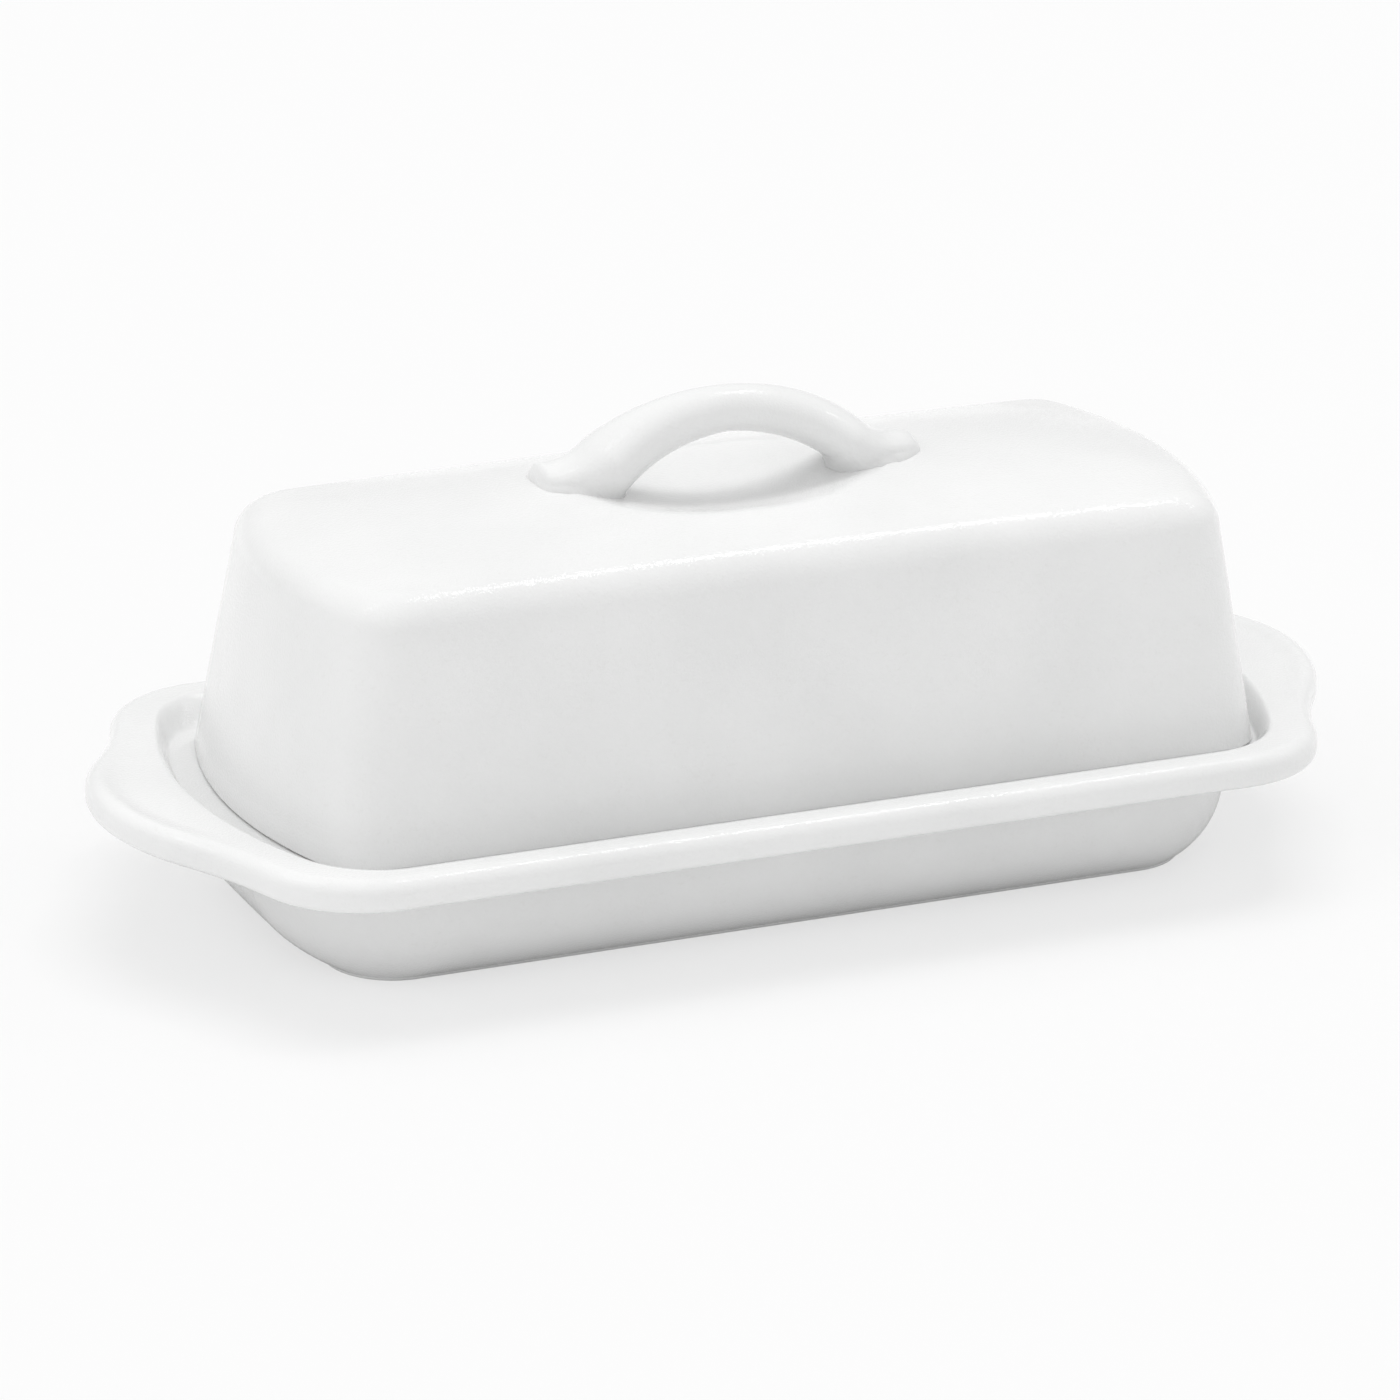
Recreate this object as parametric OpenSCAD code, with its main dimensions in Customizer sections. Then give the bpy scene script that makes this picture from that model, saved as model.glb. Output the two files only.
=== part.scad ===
// Covered butter dish: a tabbed dish, a domed cover and its loop handle.
// The origin is on the table, under the middle of the dish. X runs along the dish.

/* [Dish] */
// Length over the two end tabs
dish_length = 210; // [208:1:216]
// Width across the rim
dish_width = 96; // [95:1:100]
// Height of the rim's top above the table
rim_top = 24.7; // [24.4:0.1:26]
// Thickness of the rim
rim_thickness = 5.1; // [4.8:0.1:5.6]
// How far each tab's tip curls up
tab_lift = 1.6; // [0:0.1:2]
// Length of the foot
foot_length = 148.2; // [142:0.2:150]
// Width of the foot
foot_width = 58.4; // [54:0.2:60]
// How far the side walls bulge out past the foot
side_bulge = 7.7; // [7:0.1:9]
// How far the end walls bulge out past the foot
end_bulge = 9.7; // [8:0.1:11]
// Height of the well's floor above the table
floor_height = 5.5; // [4:0.5:8]

/* [Cover] */
// Length of the cover at its base
cover_length = 170.2; // [168:0.2:171]
// Width of the cover at its base
cover_width = 68.6; // [66:0.2:70]
// Height of the ledge that the cover stands on
ledge_height = 20.8; // [20.7:0.1:21.6]
// Height of the roof's middle above the table
roof_height = 67; // [64:0.5:72]
// Wall thickness of the cover
cover_wall = 3.8; // [3:0.1:4.2]
// How far the cover sits from the middle of its recess
cover_shift = 1.8; // [0:0.1:1.9]
// Half-length of the finger dimple in the roof
dimple_x = 24.5; // [22:0.5:25]
// Half-width of the finger dimple
dimple_y = 16.5; // [14:0.5:18.5]
// Depth of the finger dimple
dimple_depth = 4.2; // [3:0.1:5]

/* [Handle] */
// Height of the handle's crown above the roof's middle
handle_height = 13.9; // [12:0.1:18]
// Thickness of the handle at its crown
handle_thickness = 7.5; // [6.5:0.1:9]
// Half-length from the crown to the tip of each foot
handle_reach = 32.5; // [31:0.5:34]
// How far the handle is turned from the cover's length, in degrees
handle_turn = 4; // [0:0.5:5]
// How far the handle sits off the cover's middle, toward one end
handle_offset = 1.2; // [0:0.1:1.5]

/* [Hidden] */
glaze = [0.95, 0.95, 0.94];

// Points round a ring: along each half end, and along each half side
end_steps = 22;
side_steps = 4;
pole = [50, 0];

// Rim outline: a round tab, a hollow curve and a round corner, all tangent
tab_radius = 33.3;
hollow_radius = 60;
corner_radius = 19;
rim_half_length = 91.6;
tab_centre = [dish_length / 2 - tab_radius, 0];
corner_centre = [rim_half_length - corner_radius, dish_width / 2 - corner_radius];
hollow_centre = touching_centre(tab_centre, tab_radius + hollow_radius,
                                corner_centre, corner_radius + hollow_radius);
edge_low = 1.3;
edge_high = 2.6;
rim_under = rim_top - rim_thickness;
wall_top = rim_under - 1;
rim_land = 5.7;
lift_start = 82;

// Foot, recess and well, as [half-length, half-width, bow of the end, corner radius]
foot_outline = [foot_length / 2, foot_width / 2, 0.6, 11];
wall_outline = [foot_length / 2 + end_bulge, foot_width / 2 + side_bulge, 0.7, 26];
foot_step = 1;
foot_hollow = 1;
foot_ring_width = 6.8;
ring_slope = 1.2;
foot_edge = 0.9;
wall_rounding = 4;
wall_spacing = 1.6;
wall_bands = 8;
recess_outline = [cover_length / 2 + 4.3, dish_width / 2 - rim_land, 12.5, 15];
recess_floor = [cover_length / 2 + 2.4, cover_width / 2 + 1.3, 7.5, 9.5];
well_outline = [cover_length / 2 - 6.6, cover_width / 2 - 5.8, 6, 11];

recess_bands = 5;

// Profile down into the well, as [inset, share of the height above its floor]
well_profile = [[0.8, 0.98], [1.2, 0.93], [4.4, 0.18], [4.9, 0.07], [5.6, 0.02], [7, 0]];

// Cover: base, shoulder where the walls end, and edge of the roof
base_outline = [cover_length / 2, cover_width / 2, 7, 7];
shoulder_height = roof_height - 9.3;
shoulder_outline = [cover_length / 2 - 5.8, cover_width / 2 - 3.3, 7.2, 9];
shoulder_radius = 5.9;
shoulder_draft = 9.3;
shoulder_end = 76;
shoulder_bands = 6;
side_crown = 0.9;
roof_inset = shoulder_radius * (cos(shoulder_draft) - cos(shoulder_end));
roof_outline = grown(shoulder_outline, -roof_inset);
roof_edge = shoulder_height + shoulder_radius * (sin(shoulder_end) - sin(shoulder_draft));
base_rounding = 0.8;
roof_bands = 5;
roof_end_power = 5;
dimple_bands = 6;
dimple_squareness = 2.3;
bowl_power = 1.2;
dimple_offset = 2.5;
inner_shoulder_least = 2.5;

// Handle: a crown arc, a hollow arc down to the roof, and a flared foot
handle_half = handle_thickness / 2;
crown_radius = 33;
crown_sweep = 36;
hollow_foot_radius = 17;
crown_top = roof_height + handle_height - handle_half;
leg_rise = handle_half + 0.3;
leg_depth = 4.8;
leg_uneven = 0.8;
leg_width = 6.8;
foot_rise = 2.4;
foot_sink = 7;
sink_power = 0.6;
foot_half_width = 4.4;
reach_uneven = 1.5;
tail_bend = 3;
leg_bend_share = 0.6;
tip_drop = 1.6;
tip_roundness = 0.6;
crown_steps = 5;
section_sides = 20;

// Centre of the circle that touches two others from outside, on their +X side
function touching_centre(c1, r1, c2, r2) =
    let (d = norm(c2 - c1), u = (c2 - c1) / d, t = (r1 * r1 - r2 * r2 + d * d) / (2 * d))
    c1 + u * t + [u.y, -u.x] * sqrt(r1 * r1 - t * t);

// Distance from the pole, along u, to the far or near side of a circle
function reach(c, r, u, far) =
    let (w = c - pole, s = w * u, q = s * s - w * w + r * r)
    s + (far ? 1 : -1) * sqrt(max(q, 0));

function angle_to(p) = atan2(p.y, p.x - pole.x);
function toward(a, b) = (b - a) / norm(b - a);
function grown(o, by) = [o[0] + by, o[1] + by, o[2], o[3] + by];
function mix(a, b, t) = a + (b - a) * t;
function smooth(t) = t * t * (3 - 2 * t);

// A quarter outline, from the end's middle to the side's middle
function quarter(half_width, radial) = concat(
    [for (i = [0:end_steps]) let (f = 90 * i / end_steps, u = [cos(f), sin(f)]) pole + u * radial(f, u)],
    [for (i = [1:side_steps]) [pole.x * (1 - i / side_steps), half_width]]);

// The whole outline, from its first quarter
function all_round(q) = let (n = len(q) - 1) concat(
    [for (i = [0:n - 1]) q[i]],
    [for (i = [n:-1:1]) [-q[i].x, q[i].y]],
    [for (i = [0:n - 1]) [-q[i].x, -q[i].y]],
    [for (i = [n:-1:1]) [q[i].x, -q[i].y]]);

// A rectangle with bowed ends and round corners
function bowed(o) =
    let (a = o[0], b = o[1], r = o[3], re = (b * b + o[2] * o[2]) / (2 * o[2]), ce = [a - re, 0],
         ck = [ce.x + sqrt(pow(re - r, 2) - pow(b - r, 2)), b - r],
         end_angle = angle_to(ce + re * toward(ce, ck)), side_angle = angle_to([ck.x, b]))
    all_round(quarter(b, function (f, u)
        f <= end_angle ? reach(ce, re, u, true) : f <= side_angle ? reach(ck, r, u, true) : b / sin(f)));

// The rim's outline, moved in by inset
function rim_outline(inset) =
    let (rt = tab_radius - inset, rc = corner_radius - inset, rh = hollow_radius + inset,
         half_width = dish_width / 2 - inset,
         tab_angle = angle_to(tab_centre + rt * toward(tab_centre, hollow_centre)),
         hollow_angle = angle_to(corner_centre + rc * toward(corner_centre, hollow_centre)),
         corner_angle = angle_to([corner_centre.x, half_width]))
    all_round(quarter(half_width, function (f, u)
        f <= tab_angle ? reach(tab_centre, rt, u, true)
        : f <= hollow_angle ? reach(hollow_centre, rh, u, false)
        : f <= corner_angle ? reach(corner_centre, rc, u, true)
        : half_width / sin(f)));

function at_height(ring, z) = [for (p = ring) [p.x, p.y, z]];
function scaled(ring, k) = [for (p = ring) p * k];

// A closed skin through rings of equal length, with a point at each end
module skin(first, rings, last) {
    n = len(rings[0]);
    m = len(rings);
    points = concat([first], [for (r = rings) for (p = r) p], [last]);
    function id(r, i) = 1 + r * n + i % n;
    faces = concat(
        [for (i = [0:n - 1]) [0, id(0, i), id(0, i + 1)]],
        [for (r = [0:m - 2]) for (i = [0:n - 1]) [id(r, i), id(r + 1, i), id(r + 1, i + 1)]],
        [for (r = [0:m - 2]) for (i = [0:n - 1]) [id(r, i), id(r + 1, i + 1), id(r, i + 1)]],
        [for (i = [0:n - 1]) [m * n + 1, id(m - 1, i + 1), id(m - 1, i)]]);
    polyhedron(points = points, faces = faces);
}

// ---- Dish ----

// How far the rim is lifted at x: nothing along the sides, most at the tips
function lift(x) = tab_lift * pow(max(0, abs(x) - lift_start) / (dish_length / 2 - lift_start), 2);
function rim_ring(inset, z, share) = [for (p = rim_outline(inset)) [p.x, p.y, z + share * lift(p.x)]];
function foot_ring(out, z) = at_height(bowed(grown(foot_outline, out)), z);
function wall_ring(share, z) = at_height(bowed(mix(foot_outline, wall_outline, share)), z);
function recess_ring(t) =
    at_height(bowed(mix(recess_outline, recess_floor, t)), mix(rim_top, ledge_height, smooth(t)));
function well_ring(out, z) = at_height(bowed(grown(well_outline, out)), z);

function dish_rings() = concat(
    // Underside: a shallow hollow inside the foot ring
    [at_height(scaled(bowed(grown(foot_outline, -foot_ring_width - ring_slope)), 0.5), foot_hollow),
     foot_ring(-foot_ring_width - ring_slope, foot_hollow), foot_ring(-foot_ring_width, 0),
     foot_ring(-foot_edge, 0), foot_ring(-foot_edge / 4, foot_step / 4), foot_ring(0, foot_step)],
    // Bulging side wall
    [for (i = [1:wall_bands]) let (h = pow(i / wall_bands, wall_spacing))
        wall_ring(1 - pow(1 - h, wall_rounding), mix(foot_step, wall_top, h))],
    // Rim: underside, round lower edge, upright edge, round upper edge, flat top
    [rim_ring(edge_low + 2, rim_under, 0.6)],
    [for (f = [0:45:90]) rim_ring(edge_low * (1 - sin(f)), rim_under + edge_low * (1 - cos(f)), 1)],
    [for (f = [0:22.5:90]) rim_ring(edge_high * (1 - cos(f)), rim_top - edge_high * (1 - sin(f)), 1)],
    [rim_ring(mix(edge_high, rim_land, 0.4), rim_top, 0.6),
     rim_ring(mix(edge_high, rim_land, 0.8), rim_top, 0.2)],
    // Recess that the cover stands in
    [for (i = [0:recess_bands]) recess_ring(i / recess_bands)],
    // Well for the butter
    [well_ring(0, ledge_height)],
    [for (s = well_profile) well_ring(-s[0], mix(floor_height, ledge_height, s[1]))],
    [at_height(scaled(bowed(grown(well_outline, -7)), 0.5), floor_height)]);

module dish() {
    color(glaze) skin([0, 0, foot_hollow], dish_rings(), [0, 0, floor_height]);
}

// ---- Cover ----

// How far the roof's long edges rise at x, from nothing at the ends
function crown(x) = side_crown * (1 - pow(x / (cover_length / 2), 2));

// Pillow shape of the roof, over an outline and an edge height
function pillow(p, o, edge, top) =
    let (y = min(abs(p.y) / o[1], 1), x = min(abs(p.x) / (o[0] - o[2] * y * y), 1), z = edge + crown(p.x))
    z + (top - z) * (1 - y * y) * (1 - pow(x, roof_end_power));

function roof_ring(ring, o, edge, top) = [for (p = ring) [p.x, p.y, pillow(p, o, edge, top)]];

// The dimple's rim is a slightly square ellipse; squared bends a cosine or sine to suit
function squared(c) = sign(c) * pow(abs(c), 2 / dimple_squareness);
function dimple_point(p, o, grow) =
    let (f = atan2(p.y / o[1], p.x / o[0]))
    [(dimple_x + grow) * squared(cos(f)), (dimple_y + grow) * squared(sin(f))];
function dimple_ring(ring, o, grow, k) = [for (p = ring) dimple_point(p, o, grow) * k - [dimple_offset, 0]];

// Bowl of the dimple at share k of the way from its middle to its rim
function bowl(k) = dimple_depth * pow(1 - k * k, bowl_power);

// Roof rings from its edge to the dimple's middle
function roof_rings(o, edge, top, grow) =
    let (outer = bowed(o), inner = dimple_ring(outer, o, grow, 1))
    concat(
        [for (i = [0:roof_bands]) let (t = i / roof_bands)
            roof_ring([for (j = [0:len(outer) - 1]) mix(outer[j], inner[j], t)], o, edge, top)],
        [for (i = [1:dimple_bands]) let (k = cos(90 * i / (dimple_bands + 1)))
            [for (p = roof_ring(dimple_ring(outer, o, grow, k), o, edge, top)) p - [0, 0, bowl(k)]]]);

// Wall and shoulder rings, from the base up, for an outline moved in by inset
function wall_rings(inset) = concat(
    [at_height(bowed(grown(shoulder_outline, -inset)), shoulder_height)],
    [for (i = [1:shoulder_bands - 1])
        let (t = i / shoulder_bands, f = mix(shoulder_draft, shoulder_end, t),
             r = max(shoulder_radius - inset, inner_shoulder_least))
        [for (p = bowed(grown(shoulder_outline, -inset - r * (cos(shoulder_draft) - cos(f)))))
            [p.x, p.y, shoulder_height + r * (sin(f) - sin(shoulder_draft)) + crown(p.x) * t]]]);

function reversed(v) = [for (i = [len(v) - 1:-1:0]) v[i]];
function base_ring(inset, z) = at_height(bowed(grown(base_outline, -inset)), z);

inner_radius = max(shoulder_radius - cover_wall, inner_shoulder_least);
inner_inset = inner_radius * (cos(shoulder_draft) - cos(shoulder_end));
inner_outline = grown(shoulder_outline, -cover_wall - inner_inset);
dimple_grow = 0.7;
inner_edge = shoulder_height + inner_radius * (sin(shoulder_end) - sin(shoulder_draft));

function outside_rings() = concat(
    [base_ring(base_rounding, ledge_height),
     base_ring(base_rounding * 0.3, ledge_height + base_rounding * 0.3),
     base_ring(0, ledge_height + base_rounding)],
    wall_rings(0), roof_rings(roof_outline, roof_edge, roof_height, 0));

function inside_rings() = concat(
    [base_ring(cover_wall - base_rounding, ledge_height),
     base_ring(cover_wall - base_rounding * 0.3, ledge_height + base_rounding * 0.3),
     base_ring(cover_wall, ledge_height + base_rounding)],
    wall_rings(cover_wall),
    roof_rings(inner_outline, inner_edge, roof_height - cover_wall, cover_wall * dimple_grow));

dimple_middle = [-dimple_offset, 0, roof_height - dimple_depth];

module on_cover() {
    translate([cover_shift, 0, 0]) children();
}

module cover() {
    color(glaze) on_cover()
        skin(dimple_middle - [0, 0, cover_wall],
            concat(reversed(inside_rings()), outside_rings()),
            dimple_middle);
}

// Everything below the roof, which the handle's feet are shaped to
module under_roof() {
    skin([0, 0, ledge_height], outside_rings(), dimple_middle);
}

// ---- Handle ----

hollow_x = (crown_radius + hollow_foot_radius) * sin(crown_sweep);
hollow_z = crown_top - crown_radius + (crown_radius + hollow_foot_radius) * cos(crown_sweep);
foot_z = hollow_z - hollow_foot_radius;

// Sections as [x, z, slope, half-height above, half-height below, half-width, y], for one side's leg
function crown_section(t, depth) = let (f = crown_sweep * t)
    [crown_radius * sin(f), crown_top - crown_radius * (1 - cos(f)), f,
     mix(handle_half, leg_rise, t), mix(handle_half, depth, t), mix(handle_half + 0.2, leg_width, t * t), 0];
function hollow_section(t, depth) = let (f = crown_sweep * (1 - t))
    [hollow_x - hollow_foot_radius * sin(f), hollow_z - hollow_foot_radius * cos(f), f,
     mix(leg_rise, foot_rise, t), mix(depth, foot_sink, pow(t, sink_power)), mix(leg_width, foot_half_width, t),
     tail_bend * leg_bend_share * t * t];
function tip_section(f, reach_x) =
    [mix(hollow_x, reach_x, sin(f)), foot_z - tip_drop * (1 - cos(f)), 0,
     foot_rise * pow(cos(f), tip_roundness), foot_sink * cos(f),
     foot_half_width * pow(cos(f), tip_roundness), tail_bend * mix(leg_bend_share, 1, sin(f))];
function tip_reach(side) = handle_reach + side * reach_uneven;
function half_sections(side) =
    let (depth = leg_depth - side * leg_uneven) concat(
    [for (i = [0:crown_steps]) crown_section(i / crown_steps, depth)],
    [for (i = [1:crown_steps]) hollow_section(i / crown_steps, depth)],
    [for (f = [25:25:75]) tip_section(f, tip_reach(side))]);

// A section's ring of points, on the side of the crown that side names
function section_ring(s, side) = [for (i = [0:section_sides - 1])
    let (a = 360 * i / section_sides, v = sin(a) * (sin(a) > 0 ? s[3] : s[4]))
    [side * (s[0] + v * sin(s[2])), cos(a) * s[5] + s[6], s[1] + v * cos(s[2])]];

module handle() {
    low = half_sections(-1);
    high = half_sections(1);
    n = len(low);
    rings = concat([for (i = [n - 1:-1:0]) section_ring(low[i], -1)],
                   [for (i = [1:n - 1]) section_ring(high[i], 1)]);
    function tip(side) = [side * tip_reach(side), tail_bend, foot_z - tip_drop];
    color(glaze) on_cover() difference() {
        translate([-handle_offset, 0, 0]) rotate(-handle_turn)
            skin(tip(-1), rings, tip(1));
        under_roof();
    }
}

dish();
cover();
handle();
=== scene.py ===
"""Covered butter dish in white glaze: a tabbed dish, its domed cover and the cover's loop handle."""

import math

import bpy
import numpy as np
from mathutils import Matrix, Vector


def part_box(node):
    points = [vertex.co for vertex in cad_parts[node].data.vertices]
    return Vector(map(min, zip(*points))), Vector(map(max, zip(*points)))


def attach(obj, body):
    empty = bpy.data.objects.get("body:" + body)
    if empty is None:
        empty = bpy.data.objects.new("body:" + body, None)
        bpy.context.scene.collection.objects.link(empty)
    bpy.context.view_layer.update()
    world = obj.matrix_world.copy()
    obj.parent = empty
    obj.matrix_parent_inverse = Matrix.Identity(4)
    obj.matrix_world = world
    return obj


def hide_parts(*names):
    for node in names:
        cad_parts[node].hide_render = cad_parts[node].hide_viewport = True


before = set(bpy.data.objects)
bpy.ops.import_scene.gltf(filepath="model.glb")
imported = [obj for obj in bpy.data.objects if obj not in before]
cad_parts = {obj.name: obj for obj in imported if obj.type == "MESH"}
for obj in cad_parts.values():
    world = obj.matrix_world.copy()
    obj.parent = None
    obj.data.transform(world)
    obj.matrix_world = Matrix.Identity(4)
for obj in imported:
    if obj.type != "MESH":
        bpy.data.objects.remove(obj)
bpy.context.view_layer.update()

MM = 0.001

# ---- Sizes, in millimetres, with X along the dish and Z up; overall sizes come from the CAD boxes ----

dish_high = np.array(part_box("dish")[1]) / MM
cover_low, cover_high = [np.array(corner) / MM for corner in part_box("cover")]
HALF_LENGTH = dish_high[0]
HALF_WIDTH = dish_high[1]

# Rim: a round tab, a hollow curve and a round corner, all tangent
RIM_TOP = 24.7
RIM_UNDER = 19.6
WALL_TOP = 18.6
TAB_RADIUS = 33.3
HOLLOW_RADIUS = 60.0
CORNER_RADIUS = 19.0
RIM_HALF_LENGTH = 91.6
EDGE_LOW = 1.4
EDGE_HIGH = 2.6
RIM_LAND = 5.7
RIM_FLAT = RIM_LAND - 1.2
LIFT_START = 82.0
TAB_LIFT = dish_high[2] - RIM_TOP

# The tab's raised border starts to fade this far in from the rim's edge, over this width
BORDER_START = 2.2
BORDER_FADE = 4.2

# Share of the lift that the rim's underside takes, at distances in from its low rounding
UNDERSIDE_SHARES = ((2.4, 0.5), (1.0, 0.85))

# Outlines as (half-length, half-width, bow of the end, corner radius)
FOOT = np.array([74.1, 29.2, 0.6, 11.0])
WALL = np.array([83.8, 36.9, 0.7, 26.0])
RECESS_EDGE = np.array([89.4, HALF_WIDTH - RIM_LAND, 12.5, 15.0])
RECESS_FLOOR = np.array([87.5, 35.6, 7.5, 9.5])
RECESS_ROUNDING = 1.1
WELL = np.array([78.5, 28.5, 6.0, 11.0])
BASE = np.array([85.1, 34.3, 7.0, 7.0])
SHOULDER = np.array([79.3, 31.0, 7.2, 9.0])

FOOT_STEP = 0.55
FOOT_EDGE = 0.5
FOOT_HOLLOW = 1.0
FOOT_HOLLOW_INSET = 8.0
FOOT_RING_INSET = 6.5
WALL_ROUNDING = 4.0
LEDGE = cover_low[2]
WELL_FLOOR = 5.5
WELL_LIP = 1.2
WELL_LIP_SWEEP = 75.0
WELL_LIP_DROP = 0.9
WELL_DRAFT = 4.0
WELL_BOTTOM_RADIUS = 3.0

# Cover
ROOF_TOP = 67.0
COVER_WALL = 3.8
COVER_SHIFT = (cover_low[0] + cover_high[0]) / 2
SHOULDER_HEIGHT = 57.7
SHOULDER_RADIUS = 5.9
LEAST_SHOULDER_RADIUS = 2.5
SHOULDER_DRAFT = 9.3
SHOULDER_END = 76.0
SIDE_CROWN = 0.9
ROOF_END_POWER = 5
BASE_ROUNDING = 0.7
BASE_SWEEP = 80.0
DIMPLE_X = 24.5
DIMPLE_Y = 16.5
DIMPLE_DEPTH = 4.2
DIMPLE_MIDDLE = np.array([-2.5, 0.0])
DIMPLE_SQUARENESS = 2.3
DIMPLE_GROWTH = 0.7 * COVER_WALL
BOWL_POWER = 1.2
LIP_SOFTNESS = 0.1

# Handle
CROWN_Z = 77.15
CROWN_RADIUS = 33.0
CROWN_SWEEP = 36.0
HALF_THICKNESS = 3.75
CROWN_HALF_WIDTH = 3.95
HOLLOW_FOOT_RADIUS = 17.0
HANDLE_REACH = 32.5
HANDLE_TURN = -4.0
HANDLE_OFFSET = 1.2
LEG_RISE = 4.05
LEG_DEPTH = 4.8
LEG_UNEVEN = 0.8
LEG_WIDTH = 6.8
FOOT_RISE = 2.4
FOOT_SINK = 7.0
FOOT_HALF_WIDTH = 4.4
REACH_UNEVEN = 1.5
TAIL_BEND = 3.0
LEG_BEND_SHARE = 0.6
TIP_DROP = 1.6
TIP_ROUNDNESS = 0.6
TIP_SWEEP = 84.0
FILLET = 1.3
SKIRT = 0.9
TIP_FADE = 16.0
SINK_POWER = 0.6

# The fillet's unevenness: its share, and its waves along x and y as (radians per mm, start)
WOBBLE = 0.12
WOBBLE_X = (1.3, 0.6)
WOBBLE_Y = (0.9, 2.0)

# Mesh fineness: steps along a quarter outline, and rings over each stretch of a section
END_STEPS = 84
SIDE_STEPS = 14
POLE = np.array([50.0, 0.0])
FOOT_SLOPE_RINGS = 6
WALL_RINGS = 30
LAND_RINGS = 14
RECESS_RINGS = 14
WELL_WALL_RINGS = 8
COVER_WALL_RINGS = 12
ROOF_RINGS = 40
DIMPLE_RINGS = 30
SECTION_SIDES = 48
CROWN_STEPS = 24
LEG_STEPS = 20
TIP_STEPS = 14

# Rings crowd together towards the foot, the roof's edge and the dimple's rim
WALL_CROWDING = 1.7
ROOF_CROWDING = 1.5

# Shares of an outline at which the flat middle inside it has its rings
HOLLOW_SHARES = (0.2, 0.5, 0.8, 0.93)
WELL_FLOOR_SHARES = (0.85, 0.5, 0.2)


# ---- Outlines ----

def unit(v):
    return v / np.linalg.norm(v)


def mix(a, b, t):
    return a + (b - a) * t


def smooth(t):
    t = np.clip(t, 0.0, 1.0)
    return t * t * (3.0 - 2.0 * t)


def reach(centre, radius, u, far=True):
    """Distances from the pole along the directions u to the far or near side of a circle."""
    w = centre - POLE
    s = u @ w
    root = np.sqrt(np.maximum(s * s - w @ w + radius * radius, 0.0))
    return s + root if far else s - root


def angle_to(p):
    return math.atan2(p[1], p[0] - POLE[0])


def all_round(half_width, radial):
    """A closed outline from the distances that radial gives over a quarter turn about the pole."""
    f = np.radians(np.linspace(0.0, 90.0, END_STEPS + 1))
    u = np.stack([np.cos(f), np.sin(f)], 1)
    t = np.arange(1, SIDE_STEPS + 1) / SIDE_STEPS
    side = np.stack([POLE[0] * (1.0 - t), np.full(len(t), half_width)], 1)
    q = np.concatenate([POLE + u * radial(f, u)[:, None], side])
    return np.concatenate([q[:-1], (q * (-1, 1))[:0:-1], (-q)[:-1], (q * (1, -1))[:0:-1]])


def straight(half_width, f):
    return half_width / np.maximum(np.sin(f), 1e-9)


def bowed(o):
    """A rectangle with bowed ends and round corners."""
    a, b, bow, r = o
    end_radius = (b * b + bow * bow) / (2.0 * bow)
    end = np.array([a - end_radius, 0.0])
    corner = np.array([end[0] + math.sqrt((end_radius - r) ** 2 - (b - r) ** 2), b - r])
    end_angle = angle_to(end + end_radius * unit(corner - end))
    side_angle = angle_to((corner[0], b))

    def radial(f, u):
        rounded = [reach(end, end_radius, u), reach(corner, r, u)]
        return np.select([f <= end_angle, f <= side_angle], rounded, straight(b, f))
    return all_round(b, radial)


def rim_outline(inset):
    """The dish's rim outline, moved in by inset."""
    tab = np.array([HALF_LENGTH - TAB_RADIUS, 0.0])
    corner = np.array([RIM_HALF_LENGTH - CORNER_RADIUS, HALF_WIDTH - CORNER_RADIUS])
    r1 = TAB_RADIUS + HOLLOW_RADIUS
    r2 = CORNER_RADIUS + HOLLOW_RADIUS
    d = np.linalg.norm(corner - tab)
    u = (corner - tab) / d
    t = (r1 * r1 - r2 * r2 + d * d) / (2.0 * d)
    hollow = tab + u * t + np.array([u[1], -u[0]]) * math.sqrt(r1 * r1 - t * t)
    rt, rc, rh = TAB_RADIUS - inset, CORNER_RADIUS - inset, HOLLOW_RADIUS + inset
    half_width = HALF_WIDTH - inset
    limits = [angle_to(tab + rt * unit(hollow - tab)),
              angle_to(corner + rc * unit(hollow - corner)),
              angle_to((corner[0], half_width))]

    def radial(f, v):
        curves = [reach(tab, rt, v), reach(hollow, rh, v, far=False), reach(corner, rc, v)]
        return np.select([f <= limit for limit in limits], curves, straight(half_width, f))
    return all_round(half_width, radial)


def grown(o, by):
    return o + np.array([by, by, 0.0, by])


def ring(outline, z):
    """Points of an outline at a height, or at a height for each point."""
    return np.column_stack([outline, np.broadcast_to(z, len(outline))])


# ---- Mesh building ----

def lathe(name, first, rings, last):
    """A closed skin through rings of equal length, with a point at each end."""
    n = len(rings[0])
    m = len(rings)
    points = np.concatenate([[first]] + rings + [[last]])
    i = np.arange(n)
    j = (i + 1) % n
    faces = [(0, 1 + b, 1 + a) for a, b in zip(i, j)]
    for r in range(m - 1):
        low = 1 + r * n
        faces += zip(low + i, low + j, low + n + j, low + n + i)
    top = 1 + (m - 1) * n
    faces += zip(top + i, top + j, np.full(n, top + n))
    return new_mesh(name, points, faces)


def new_mesh(name, points, faces):
    mesh = bpy.data.meshes.new(name)
    mesh.from_pydata((np.asarray(points) * MM).tolist(), [], [tuple(int(k) for k in f) for f in faces])
    mesh.validate()
    mesh.polygons.foreach_set("use_smooth", [True] * len(mesh.polygons))
    mesh.update()
    obj = bpy.data.objects.new(name, mesh)
    bpy.context.scene.collection.objects.link(obj)
    return obj


def arc(start, stop, steps):
    return np.radians(np.linspace(start, stop, steps + 1))


# ---- Dish ----

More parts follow.
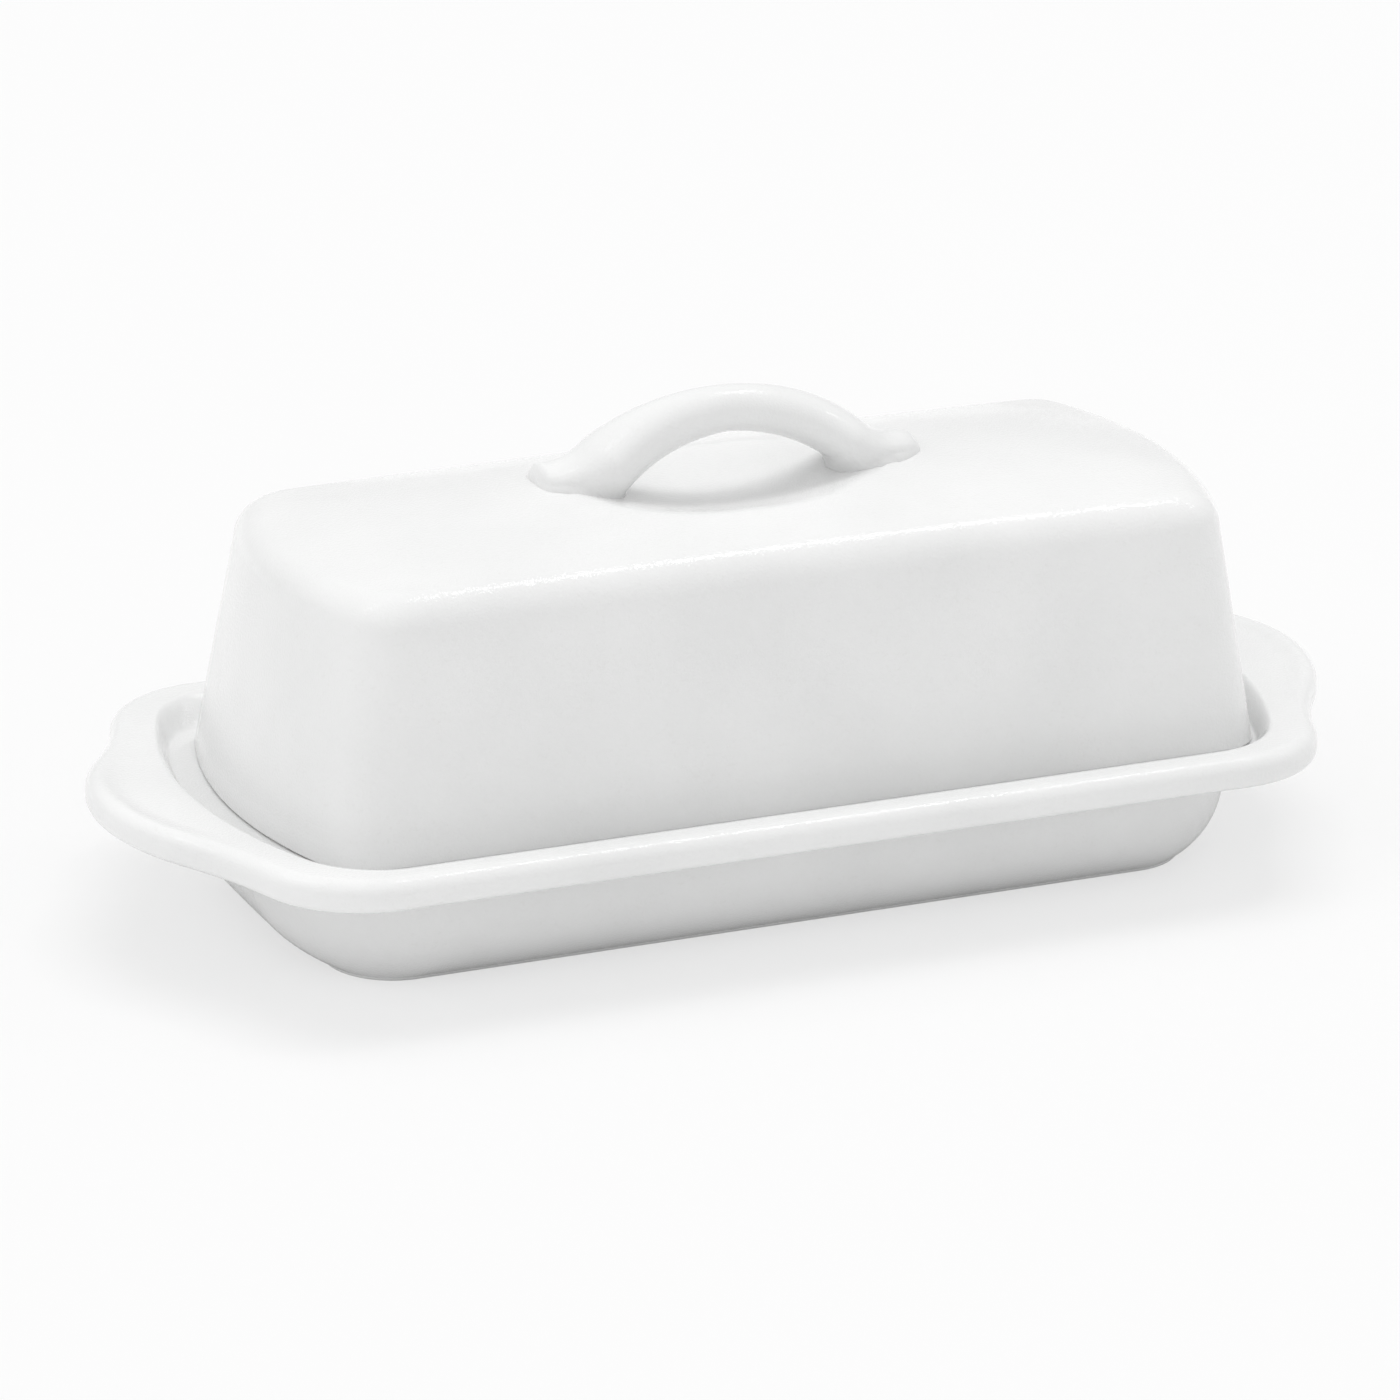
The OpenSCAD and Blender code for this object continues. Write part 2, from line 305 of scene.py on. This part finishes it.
def lift(x):
    """How far the rim is lifted at x: nothing along the sides, most at the tab tips."""
    return TAB_LIFT * (np.maximum(0.0, np.abs(x) - LIFT_START) / (HALF_LENGTH - LIFT_START)) ** 2


def rim_ring(inset, z, share=1.0):
    outline = rim_outline(inset)
    return ring(outline, z + share * lift(outline[:, 0]))


def edge_share(inset):
    """Share of the lift that is left at a distance in from the rim's edge: the tab's raised border."""
    return 1.0 - smooth((inset - BORDER_START) / BORDER_FADE)


def underside_rings():
    middle = bowed(grown(FOOT, -FOOT_HOLLOW_INSET))
    rings = [ring(middle * k, FOOT_HOLLOW) for k in HOLLOW_SHARES]
    for t in np.linspace(0.0, 1.0, FOOT_SLOPE_RINGS):
        outline = bowed(grown(FOOT, -mix(FOOT_HOLLOW_INSET, FOOT_RING_INSET, t)))
        rings.append(ring(outline, FOOT_HOLLOW * (1.0 - smooth(t))))
    rings.append(ring(bowed(grown(FOOT, -(FOOT_EDGE + FOOT_RING_INSET) / 2.0)), 0.0))
    for f in arc(0, 90, 5):
        outline = bowed(grown(FOOT, FOOT_EDGE * (math.sin(f) - 1.0)))
        rings.append(ring(outline, FOOT_EDGE * (1.0 - math.cos(f))))
    return rings


def wall_rings():
    rings = []
    for t in np.linspace(0.0, 1.0, WALL_RINGS):
        h = t ** WALL_CROWDING
        outline = mix(FOOT, WALL, 1.0 - (1.0 - h) ** WALL_ROUNDING)
        rings.append(ring(bowed(outline), mix(FOOT_STEP, WALL_TOP, h)))
    return rings


def rim_rings():
    rings = [rim_ring(EDGE_LOW + inset, RIM_UNDER, share) for inset, share in UNDERSIDE_SHARES]
    for f in arc(0, 90, 7):
        rings.append(rim_ring(EDGE_LOW * (1.0 - math.sin(f)), RIM_UNDER + EDGE_LOW * (1.0 - math.cos(f))))
    for f in arc(0, 90, 12):
        inset = EDGE_HIGH * (1.0 - math.cos(f))
        rings.append(rim_ring(inset, RIM_TOP - EDGE_HIGH * (1.0 - math.sin(f)), edge_share(inset)))
    for inset in np.linspace(EDGE_HIGH, RIM_FLAT, 5)[1:]:
        rings.append(rim_ring(inset, RIM_TOP, edge_share(inset)))
    inner = rim_outline(RIM_FLAT)
    outer_recess = bowed(grown(RECESS_EDGE, RECESS_ROUNDING))
    gap = np.linalg.norm(outer_recess - inner, axis=1)
    for t in np.linspace(0.0, 1.0, LAND_RINGS)[1:]:
        outline = mix(inner, outer_recess, t)
        share = edge_share(RIM_FLAT + gap * t)
        rings.append(ring(outline, RIM_TOP + share * lift(outline[:, 0])))
    return rings


def recess_rings():
    rings = []
    for t in np.linspace(0.0, 1.0, RECESS_RINGS)[1:]:
        outline = bowed(mix(grown(RECESS_EDGE, RECESS_ROUNDING), RECESS_FLOOR, t))
        rings.append(ring(outline, mix(RIM_TOP, LEDGE, smooth(t))))
    return rings


def well_rings():
    rings = [ring(bowed(grown(WELL, WELL_LIP)), LEDGE)]
    for f in arc(0, WELL_LIP_SWEEP, 7):
        outline = bowed(grown(WELL, -WELL_LIP * math.sin(f)))
        rings.append(ring(outline, LEDGE - WELL_LIP * (1.0 - math.cos(f))))
    for t in np.linspace(0.0, 1.0, WELL_WALL_RINGS)[1:]:
        outline = bowed(grown(WELL, -mix(WELL_LIP, WELL_DRAFT, t)))
        rings.append(ring(outline, mix(LEDGE - WELL_LIP_DROP, WELL_FLOOR + WELL_BOTTOM_RADIUS, t)))
    for f in arc(0, 90, 8)[1:]:
        outline = bowed(grown(WELL, -WELL_DRAFT - WELL_BOTTOM_RADIUS * (1.0 - math.cos(f))))
        rings.append(ring(outline, WELL_FLOOR + WELL_BOTTOM_RADIUS * (1.0 - math.sin(f))))
    floor = bowed(grown(WELL, -WELL_DRAFT - WELL_BOTTOM_RADIUS))
    rings += [ring(floor * k, WELL_FLOOR) for k in WELL_FLOOR_SHARES]
    return rings


def make_dish():
    rings = underside_rings() + wall_rings() + rim_rings() + recess_rings() + well_rings()
    return lathe("dish_glazed", (0.0, 0.0, FOOT_HOLLOW), rings, (0.0, 0.0, WELL_FLOOR))


# ---- Cover ----

def crown(x):
    """How far the roof's long edges rise at x."""
    return SIDE_CROWN * (1.0 - (x / BASE[0]) ** 2)


def pillow(p, o, edge, top):
    """Height of the roof without its dimple."""
    y = np.minimum(np.abs(p[:, 1]) / o[1], 1.0)
    x = np.minimum(np.abs(p[:, 0]) / (o[0] - o[2] * y * y), 1.0)
    z = edge + crown(p[:, 0])
    return z + (top - z) * (1.0 - y * y) * (1.0 - x ** ROOF_END_POWER)


def dimple_share(p, grow):
    """Superelliptic radius from the dimple's middle: 1 on its rim."""
    x = np.abs(p[:, 0] - DIMPLE_MIDDLE[0]) / (DIMPLE_X + grow)
    y = np.abs(p[:, 1]) / (DIMPLE_Y + grow)
    return (x ** DIMPLE_SQUARENESS + y ** DIMPLE_SQUARENESS) ** (1.0 / DIMPLE_SQUARENESS)


def roof_z(p, o, edge, top, grow):
    """Height of the roof with its dimple and the dimple's soft lip."""
    s = 1.0 - dimple_share(p, grow) ** 2
    depth = DIMPLE_DEPTH * ((s + np.sqrt(s * s + LIP_SOFTNESS ** 2)) / 2.0) ** BOWL_POWER
    return pillow(p, o, edge, top) - depth


def roof_inset(radius):
    return radius * (math.cos(math.radians(SHOULDER_DRAFT)) - math.cos(math.radians(SHOULDER_END)))


def roof_rise(radius):
    return radius * (math.sin(math.radians(SHOULDER_END)) - math.sin(math.radians(SHOULDER_DRAFT)))


def squared(c):
    return np.sign(c) * np.abs(c) ** (2.0 / DIMPLE_SQUARENESS)


def roof_rings(o, edge, top, grow):
    outer = bowed(o)
    f = np.arctan2(outer[:, 1] / o[1], outer[:, 0] / o[0])
    rim = np.column_stack([(DIMPLE_X + grow) * squared(np.cos(f)), (DIMPLE_Y + grow) * squared(np.sin(f))])
    rings = []
    for t in np.linspace(0.0, 1.0, ROOF_RINGS):
        p = mix(outer, rim + DIMPLE_MIDDLE, 1.0 - (1.0 - t) ** ROOF_CROWDING)
        rings.append(ring(p, roof_z(p, o, edge, top, grow)))
    for k in 1.0 - np.linspace(0.0, 1.0, DIMPLE_RINGS)[1:-1] ** ROOF_CROWDING:
        p = rim * k + DIMPLE_MIDDLE
        rings.append(ring(p, roof_z(p, o, edge, top, grow)))
    return rings


def shoulder_radius(inset):
    return max(SHOULDER_RADIUS - inset, LEAST_SHOULDER_RADIUS)


def side_rings(inset):
    """The cover's shoulder, from the top of its wall up, for an outline moved in by inset."""
    radius = shoulder_radius(inset)
    draft = math.radians(SHOULDER_DRAFT)
    rings = []
    for f in arc(SHOULDER_DRAFT, SHOULDER_END, 16)[:-1]:
        outline = bowed(grown(SHOULDER, -inset - radius * (math.cos(draft) - math.cos(f))))
        rise = (f - draft) / (math.radians(SHOULDER_END) - draft)
        z = SHOULDER_HEIGHT + radius * (math.sin(f) - math.sin(draft)) + crown(outline[:, 0]) * rise
        rings.append(ring(outline, z))
    return rings


def base_rings(inset, side):
    """Rounded foot of the cover's wall on one side of it, and the wall up to the shoulder."""
    rings = []
    for f in arc(0, BASE_SWEEP, 7):
        out = inset + side * BASE_ROUNDING * (1.0 - math.sin(f))
        rings.append(ring(bowed(grown(BASE, -out)), LEDGE + BASE_ROUNDING * (1.0 - math.cos(f))))
    top = bowed(grown(SHOULDER, -inset))
    foot = rings[-1]
    for t in np.linspace(0.0, 1.0, COVER_WALL_RINGS)[1:-1]:
        rings.append(mix(foot, ring(top, SHOULDER_HEIGHT), t))
    return rings


def outer_roof():
    radius = SHOULDER_RADIUS
    return grown(SHOULDER, -roof_inset(radius)), SHOULDER_HEIGHT + roof_rise(radius), ROOF_TOP, 0.0


def inner_roof():
    radius = shoulder_radius(COVER_WALL)
    outline = grown(SHOULDER, -COVER_WALL - roof_inset(radius))
    return outline, SHOULDER_HEIGHT + roof_rise(radius), ROOF_TOP - COVER_WALL, DIMPLE_GROWTH


def make_cover():
    outside = base_rings(0.0, 1.0) + side_rings(0.0) + roof_rings(*outer_roof())
    inside = base_rings(COVER_WALL, -1.0) + side_rings(COVER_WALL) + roof_rings(*inner_roof())
    middle = DIMPLE_MIDDLE[None]
    first = ring(middle, roof_z(middle, *inner_roof()))[0]
    last = ring(middle, roof_z(middle, *outer_roof()))[0]
    shift = np.array([COVER_SHIFT, 0.0, 0.0])
    rings = [points + shift for points in inside[::-1] + outside]
    return lathe("cover_glazed", first + shift, rings, last + shift)


# ---- Handle ----

def half_sections(side):
    """Sections from the crown to one foot's tip: x, z, slope, half-height above and below, half-width, y."""
    depth = LEG_DEPTH - side * LEG_UNEVEN
    tip_x = HANDLE_REACH + side * REACH_UNEVEN
    sections = []
    sweep = math.radians(CROWN_SWEEP)
    for f in arc(0, CROWN_SWEEP, CROWN_STEPS):
        t = f / sweep
        sections.append((CROWN_RADIUS * math.sin(f), CROWN_Z - CROWN_RADIUS * (1.0 - math.cos(f)), f,
                         mix(HALF_THICKNESS, LEG_RISE, smooth(t)), mix(HALF_THICKNESS, depth, t),
                         mix(CROWN_HALF_WIDTH, LEG_WIDTH, t * t), 0.0))
    reach_x = (CROWN_RADIUS + HOLLOW_FOOT_RADIUS) * math.sin(sweep)
    reach_z = CROWN_Z - CROWN_RADIUS + (CROWN_RADIUS + HOLLOW_FOOT_RADIUS) * math.cos(sweep)
    foot_z = reach_z - HOLLOW_FOOT_RADIUS
    for f in arc(CROWN_SWEEP, 0, LEG_STEPS)[1:]:
        t = 1.0 - f / sweep
        x = reach_x - HOLLOW_FOOT_RADIUS * math.sin(f)
        z = reach_z - HOLLOW_FOOT_RADIUS * math.cos(f)
        sections.append((x, z, f,
                         mix(LEG_RISE, FOOT_RISE, smooth(t)), mix(depth, FOOT_SINK, t ** SINK_POWER),
                         mix(LEG_WIDTH, FOOT_HALF_WIDTH, smooth(t)), TAIL_BEND * LEG_BEND_SHARE * t * t))
    for f in arc(0, TIP_SWEEP, TIP_STEPS)[1:]:
        narrowing = math.cos(f) ** TIP_ROUNDNESS
        sections.append((mix(reach_x, tip_x, math.sin(f)), foot_z - TIP_DROP * (1.0 - math.cos(f)), 0.0,
                         FOOT_RISE * narrowing, FOOT_SINK * math.cos(f), FOOT_HALF_WIDTH * narrowing,
                         TAIL_BEND * mix(LEG_BEND_SHARE, 1.0, math.sin(f))))
    return sections


def section_ring(section, side):
    x, z, slope, above, below, half_width, y = section
    a = np.linspace(0.0, 2.0 * math.pi, SECTION_SIDES, endpoint=False)
    v = np.sin(a) * np.where(np.sin(a) > 0.0, above, below)
    return np.column_stack([side * (x + v * math.sin(slope)),
                            np.cos(a) * half_width + y,
                            z + v * math.cos(slope)])


def turned(p):
    """Turns points by the handle's turn about the cover's middle."""
    f = math.radians(HANDLE_TURN)
    return np.column_stack([p[:, 0] * math.cos(f) - p[:, 1] * math.sin(f),
                            p[:, 0] * math.sin(f) + p[:, 1] * math.cos(f), p[:, 2]])


def ring_normals(rings):
    """Outward normals of a stack of rings, by differences along and around it."""
    grid = np.stack(rings)
    along = np.gradient(grid, axis=0)
    around = np.roll(grid, -1, axis=1) - np.roll(grid, 1, axis=1)
    n = np.cross(around, along)
    n /= np.linalg.norm(n, axis=2, keepdims=True) + 1e-12
    outward = grid - grid.mean(axis=1, keepdims=True)
    flip = np.sign((n * outward).sum(axis=2).mean())
    return n * flip


def settle(rings):
    """Flares the feet out to meet the roof in an uneven luted fillet, and trims what is under it."""
    roof = outer_roof()
    normals = ring_normals(rings)
    settled = []
    for k, (points, n) in enumerate(zip(rings, normals)):
        from_tip = min(k, len(rings) - 1 - k) / TIP_FADE
        wave_x = np.sin(WOBBLE_X[0] * points[:, 0] + WOBBLE_X[1])
        wave_y = np.sin(WOBBLE_Y[0] * points[:, 1] + WOBBLE_Y[1])
        size = FILLET * (1.0 + WOBBLE * wave_x * wave_y)
        gap = np.clip(size - points[:, 2] + roof_z(points, *roof), 0.0, size)
        spread = (size - np.sqrt(size * size - gap * gap)) * smooth(from_tip)
        moved = points.copy()
        moved[:, :2] += n[:, :2] * spread[:, None]
        moved[:, 2] = np.maximum(moved[:, 2], roof_z(moved, *roof) - SKIRT)
        settled.append(moved)
    return settled


def make_handle():
    low = half_sections(-1)
    high = half_sections(1)
    rings = [turned(section_ring(s, -1)) for s in low[::-1]] + [turned(section_ring(s, 1)) for s in high[1:]]
    offset = np.array([HANDLE_OFFSET, 0.0, 0.0])
    rings = settle([points - offset for points in rings])
    shift = np.array([COVER_SHIFT, 0.0, 0.0])
    rings = [points + shift for points in rings]
    return lathe("handle_glazed", rings[0].mean(axis=0), rings, rings[-1].mean(axis=0))


# ---- Materials ----

class Nodes:
    """Short names for building one material's node tree."""

    def __init__(self, name):
        self.material = bpy.data.materials.new(name)
        self.material.use_nodes = True
        self.tree = self.material.node_tree
        self.shader = self.tree.nodes["Principled BSDF"]
        self.place = self.add("ShaderNodeTexCoord").outputs["Object"]

    def add(self, kind, **values):
        node = self.tree.nodes.new(kind)
        for key, value in values.items():
            setattr(node, key, value)
        return node

    def link(self, source, target):
        self.tree.links.new(source, target)

    def noise(self, scale, detail):
        node = self.add("ShaderNodeTexNoise")
        node.inputs["Scale"].default_value = scale
        node.inputs["Detail"].default_value = detail
        self.link(self.place, node.inputs["Vector"])
        return node.outputs["Fac"]

    def ranged(self, source, low, high, to_low, to_high):
        node = self.add("ShaderNodeMapRange", clamp=True)
        for key, value in zip(("From Min", "From Max", "To Min", "To Max"), (low, high, to_low, to_high)):
            node.inputs[key].default_value = value
        self.link(source, node.inputs["Value"])
        return node.outputs["Result"]

    def pattern(self, scale, detail, levels, values):
        """Noise whose levels are spread over a range of values."""
        return self.ranged(self.noise(scale, detail), *levels, *values)

    def blend(self, factor, a, b):
        """Mix of two colours, each a socket or a fixed colour."""
        node = self.add("ShaderNodeMix", data_type="RGBA")
        self.link(factor, node.inputs[0])
        for socket, colour in ((node.inputs[6], a), (node.inputs[7], b)):
            if isinstance(colour, tuple):
                socket.default_value = (*colour, 1.0)
            else:
                self.link(colour, socket)
        return node.outputs[2]

    def mixed(self, factor, a, b):
        """Mix of two numbers, each a socket or a fixed number."""
        node = self.add("ShaderNodeMix", data_type="FLOAT")
        self.link(factor, node.inputs[0])
        for socket, value in ((node.inputs[2], a), (node.inputs[3], b)):
            if isinstance(value, float):
                socket.default_value = value
            else:
                self.link(value, socket)
        return node.outputs[0]

    def bump(self, height, distance, strength, under=None):
        node = self.add("ShaderNodeBump")
        node.inputs["Distance"].default_value = distance
        node.inputs["Strength"].default_value = strength
        self.link(height, node.inputs["Height"])
        if under is not None:
            self.link(under, node.inputs["Normal"])
        return node.outputs["Normal"]


GLAZE_LIGHT = (0.86, 0.862, 0.86)
GLAZE_DEEP = (0.825, 0.828, 0.826)
SPECKLE = (0.70, 0.69, 0.67)
BISQUE = (0.74, 0.70, 0.64)
BISQUE_GRAIN = (0.64, 0.60, 0.54)

# Noise patterns as (waves per metre, detail, levels, values that the levels are spread over)
POOLING = (38.0, 3.0, (0.35, 0.65), (0.0, 1.0))
SPECKLE_DOTS = (1500.0, 2.0, (0.56, 0.74), (0.0, 0.16))
SPECKLE_PATCHES = (160.0, 1.0, (0.38, 0.62), (0.2, 1.0))
CLAY_GRAIN = (2600.0, 2.0, (0.4, 0.62), (0.0, 1.0))
GLOSS = (90.0, 2.0, (0.35, 0.65), (0.045, 0.075))

# Edge of the bare clay, in metres: noise (waves per metre, detail), how far it wanders, and its blur
EDGE_NOISE = (420.0, 2.0)
EDGE_WANDER = 0.0003
EDGE_BLUR = 0.00012

# Bumps: noise (waves per metre, detail), then distance in metres and strength
WAVES_NOISE = (45.0, 1.0)
WAVES_BUMP = (0.0003, 0.15)
PEEL_NOISE = (700.0, 2.0)
PEEL_BUMP = (0.00003, 0.2)
GRAIN_BUMP = (0.00005, 0.3)

CLAY_ROUGHNESS = 0.75
GLAZE_IOR = 1.5
NO_BARE_CLAY = -1.0


def glaze(name, bare_below):
    """White glaze with faint pooling, speckle and orange peel; bare clay below a height in metres."""
    m = Nodes(name)
    body = m.blend(m.pattern(*POOLING), GLAZE_LIGHT, GLAZE_DEEP)
    spots = m.add("ShaderNodeMath", operation="MULTIPLY")
    m.link(m.pattern(*SPECKLE_DOTS), spots.inputs[0])
    m.link(m.pattern(*SPECKLE_PATCHES), spots.inputs[1])
    glazed = m.blend(spots.outputs[0], body, SPECKLE)

    split = m.add("ShaderNodeSeparateXYZ")
    m.link(m.place, split.inputs[0])
    ragged = m.add("ShaderNodeMath", operation="MULTIPLY_ADD")
    m.link(m.noise(*EDGE_NOISE), ragged.inputs[0])
    ragged.inputs[1].default_value = EDGE_WANDER
    m.link(split.outputs["Z"], ragged.inputs[2])
    edge = bare_below + EDGE_WANDER / 2.0
    bare = m.ranged(ragged.outputs[0], edge, edge + EDGE_BLUR, 1.0, 0.0)
    grain = m.pattern(*CLAY_GRAIN)
    clay = m.blend(grain, BISQUE, BISQUE_GRAIN)
    m.link(m.blend(bare, glazed, clay), m.shader.inputs["Base Color"])

    m.link(m.mixed(bare, m.pattern(*GLOSS), CLAY_ROUGHNESS), m.shader.inputs["Roughness"])
    waves = m.bump(m.noise(*WAVES_NOISE), *WAVES_BUMP)
    peel = m.bump(m.noise(*PEEL_NOISE), *PEEL_BUMP, waves)
    m.link(m.bump(grain, *GRAIN_BUMP, peel), m.shader.inputs["Normal"])
    m.shader.inputs["IOR"].default_value = GLAZE_IOR
    return m.material


# Paper: its two whites, their mottling (waves per metre, detail), and the glow mixed in for the camera
PAPER_LIGHT = (0.86, 0.86, 0.86)
PAPER_DULL = (0.85, 0.85, 0.85)
PAPER_MOTTLE = (6.0, 2.0)
PAPER_ROUGHNESS = 0.9
PAPER_SPECULAR = 0.2
PAPER_GLOW = 0.968
PAPER_VEIL = 0.63


def backdrop():
    """White paper, with a glow that only the camera sees, so that shadows on it stay pale."""
    m = Nodes("studio_paper")
    m.link(m.blend(m.noise(*PAPER_MOTTLE), PAPER_LIGHT, PAPER_DULL), m.shader.inputs["Base Color"])
    m.shader.inputs["Roughness"].default_value = PAPER_ROUGHNESS
    m.shader.inputs["Specular IOR Level"].default_value = PAPER_SPECULAR
    veil = m.add("ShaderNodeEmission")
    veil.inputs["Strength"].default_value = PAPER_GLOW
    seen = m.add("ShaderNodeMath", operation="MULTIPLY")
    m.link(m.add("ShaderNodeLightPath").outputs["Is Camera Ray"], seen.inputs[0])
    seen.inputs[1].default_value = PAPER_VEIL
    veiled = m.add("ShaderNodeMixShader")
    m.link(seen.outputs[0], veiled.inputs[0])
    m.link(m.shader.outputs[0], veiled.inputs[1])
    m.link(veil.outputs[0], veiled.inputs[2])
    m.link(veiled.outputs[0], m.tree.nodes["Material Output"].inputs["Surface"])
    return m.material


def finish_piece(obj, material, body, node):
    obj.data.materials.append(material)
    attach(obj, body)
    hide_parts(node)


finish_piece(make_dish(), glaze("dish_glaze", 0.0), "dish", "dish")
finish_piece(make_cover(), glaze("cover_glaze", LEDGE * MM), "cover", "cover")
finish_piece(make_handle(), glaze("handle_glaze", NO_BARE_CLAY), "cover", "handle")


# ---- Stage, light and camera ----

FLOOR_REACH = 6000.0
WORLD_STRENGTH = 0.64
LIGHT_DISTANCE = 3.0

# Suns as (name, direction, strength, spread in degrees); they show in no reflection
SUNS = (
    ("overhead", (0.10, 0.25, 0.96), 1.02, 40.0),
    ("left_fill", (-0.9, 0.0, 0.45), 0.44, 50.0),
    ("front_fill", (0.1, -0.8, 0.6), 0.27, 60.0),
    ("right_fill", (0.9, 0.1, 0.45), 0.10, 50.0),
)

# Softboxes as (name, direction, width and height in metres, power in watts)
SOFTBOXES = (
    ("main_lamp", (0.39, 0.15, 0.91), 0.24, 0.5, 4.8),
    ("left_lamp", (-0.43, 0.24, 0.87), 0.12, 1.2, 2.6),
    ("right_lamp", (0.72, 0.02, 0.69), 0.18, 0.18, 1.4),
)


def make_floor():
    k = FLOOR_REACH
    floor = new_mesh("floor", [(-k, -k, 0), (k, -k, 0), (k, k, 0), (-k, k, 0)], [(0, 1, 2, 3)])
    floor.data.materials.append(backdrop())


def aim(obj, direction):
    """Puts a light in a direction from the object, looking back at it."""
    d = unit(np.array(direction, float))
    obj.location = (d * LIGHT_DISTANCE).tolist()
    across = unit(np.cross((0.0, 0.0, 1.0), d))
    up = np.cross(d, across)
    obj.rotation_euler = Matrix(np.column_stack([across, up, d]).tolist()).to_euler()


def add_sun(name, direction, strength, spread):
    light = bpy.data.lights.new(name, "SUN")
    light.energy = strength
    light.angle = math.radians(spread)
    obj = bpy.data.objects.new(name, light)
    obj.visible_glossy = False
    bpy.context.scene.collection.objects.link(obj)
    aim(obj, direction)


def add_softbox(name, direction, width, height, power):
    light = bpy.data.lights.new(name, "AREA")
    light.shape = "RECTANGLE"
    light.size = width
    light.size_y = height
    light.energy = power
    obj = bpy.data.objects.new(name, light)
    bpy.context.scene.collection.objects.link(obj)
    aim(obj, direction)


def set_world(strength):
    world = bpy.data.worlds.new("studio")
    world.use_nodes = True
    shade = world.node_tree.nodes["Background"]
    shade.inputs["Color"].default_value = (1.0, 1.0, 1.0, 1.0)
    shade.inputs["Strength"].default_value = strength
    bpy.context.scene.world = world


make_floor()
set_world(WORLD_STRENGTH)
for sun in SUNS:
    add_sun(*sun)
for softbox in SOFTBOXES:
    add_softbox(*softbox)

# Camera, aimed near the frame's origin: angles in degrees, places and lens in millimetres
VIEW_AZIMUTH = -24.0
VIEW_ELEVATION = 20.29
VIEW_ROLL = 1.01
VIEW_DISTANCE = 1193.7
VIEW_RIGHT = -2.51
VIEW_UP = 26.1
LENS = 189.55
SENSOR_WIDTH = 36.0
CLIP_START = 50.0 * MM
CLIP_END = 50000.0 * MM


def make_camera():
    a, e, r = (math.radians(v) for v in (VIEW_AZIMUTH, VIEW_ELEVATION, VIEW_ROLL))
    back = np.array([math.sin(a) * math.cos(e), -math.cos(a) * math.cos(e), math.sin(e)])
    right = np.array([math.cos(a), math.sin(a), 0.0])
    up = np.cross(back, right)
    place = (back * VIEW_DISTANCE + right * VIEW_RIGHT + up * VIEW_UP) * MM
    across = right * math.cos(r) + up * math.sin(r)
    upward = up * math.cos(r) - right * math.sin(r)
    camera = bpy.data.cameras.new("camera")
    camera.lens = LENS
    camera.sensor_width = SENSOR_WIDTH
    camera.clip_start = CLIP_START
    camera.clip_end = CLIP_END
    obj = bpy.data.objects.new("camera", camera)
    bpy.context.scene.collection.objects.link(obj)
    matrix = np.eye(4)
    matrix[:3] = np.column_stack([across, upward, back, place])
    obj.matrix_world = Matrix(matrix.tolist())
    bpy.context.scene.camera = obj


make_camera()
bpy.context.scene.view_settings.view_transform = "Standard"
